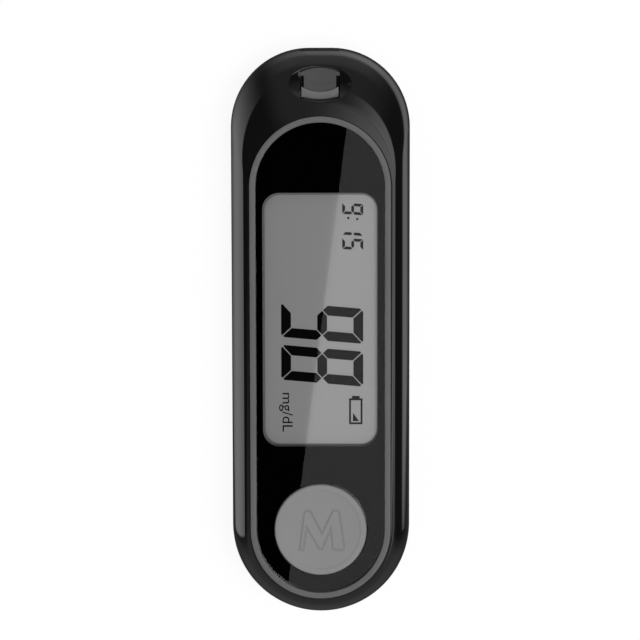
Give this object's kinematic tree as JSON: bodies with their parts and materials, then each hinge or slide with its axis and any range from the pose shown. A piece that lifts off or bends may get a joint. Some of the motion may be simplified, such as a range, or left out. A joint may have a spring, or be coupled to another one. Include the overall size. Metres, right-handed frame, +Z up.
{
  "type": "blood glucose meter",
  "caption": "Slim handheld blood glucose meter with a display, a round button, a strip port with a thumb ejector and a hinged battery door.",
  "frame": {"origin": "middle of the footprint, on the surface that the meter lies on with its face up", "axes": "+X across the meter to the right seen from the front, +Y along the meter from the round end to the strip end, +Z up out of the face"},
  "size_m": [0.034, 0.1082, 0.015],
  "materials": {
    "gloss_black": "high gloss moulded black",
    "matte_black": "fine matte black",
    "trim_grey": "satin grey",
    "clear_lens": "clear polished",
    "mask_black": "black print and adhesive",
    "button_grey": "satin grey",
    "slider_grey": "matte dark grey",
    "guide_grey": "matte charcoal",
    "spring_steel": "drawn wire",
    "display_glass": "polarised glass",
    "reflector": "diffuse reflector",
    "foam": "black foam",
    "frame_grey": "matte dark grey",
    "zebra": "layered elastomer",
    "board_green": "solder mask",
    "chip_black": "moulded package",
    "part_beige": "ceramic",
    "brass": "plain",
    "cell_steel": "brushed can",
    "contact_metal": "plated spring metal",
    "connector_ivory": "moulded ivory",
    "screw_steel": "zinc plated"
  },
  "bodies": {
    "meter": {"front_cover": "gloss_black", "rear_cover": "matte_black", "trim_ring": "trim_grey", "display_lens": "clear_lens", "lens_mask": "mask_black", "switch_body": "chip_black", "ejector_guide": "guide_grey", "ejector_spring": "spring_steel", "lcd_front_glass": "display_glass", "lcd_rear_glass": "display_glass", "lcd_reflector": "reflector", "lcd_gasket": "foam", "lcd_frame": "frame_grey", "zebra_strip": "zebra", "main_board": "board_green", "processor_chip": "chip_black", "analog_chip": "chip_black", "crystal_can": "cell_steel", "passive_parts": "part_beige", "buzzer": "brass", "coin_cell": "cell_steel", "battery_contact_positive": "contact_metal", "battery_contact_negative": "contact_metal", "strip_connector": "connector_ivory", "strip_contacts": "brass", "board_screws": "screw_steel", "housing_screws": "screw_steel"},
    "button": {"mode_button": "button_grey", "switch_plunger": "connector_ivory"},
    "ejector": {"ejector_slider": "slider_grey"},
    "door": {"battery_door": "matte_black"}
  },
  "joints": [
    {"name": "button_press", "type": "slide", "parent": "meter", "child": "button", "axis": [0, 0, -1], "range_m": [0, 0.0004], "stiffness_N_per_m": 1500},
    {"name": "ejector_slide", "type": "slide", "parent": "meter", "child": "ejector", "axis": [0, 1, 0], "range_m": [0, 0.003], "stiffness_N_per_m": 150, "deforming": ["ejector_spring"]},
    {"name": "door_swing", "type": "hinge", "parent": "meter", "child": "door", "pos_m": [0, -0.0197, 0.0011], "axis": [1, 0, 0], "range_deg": [0, 80]}
  ]
}
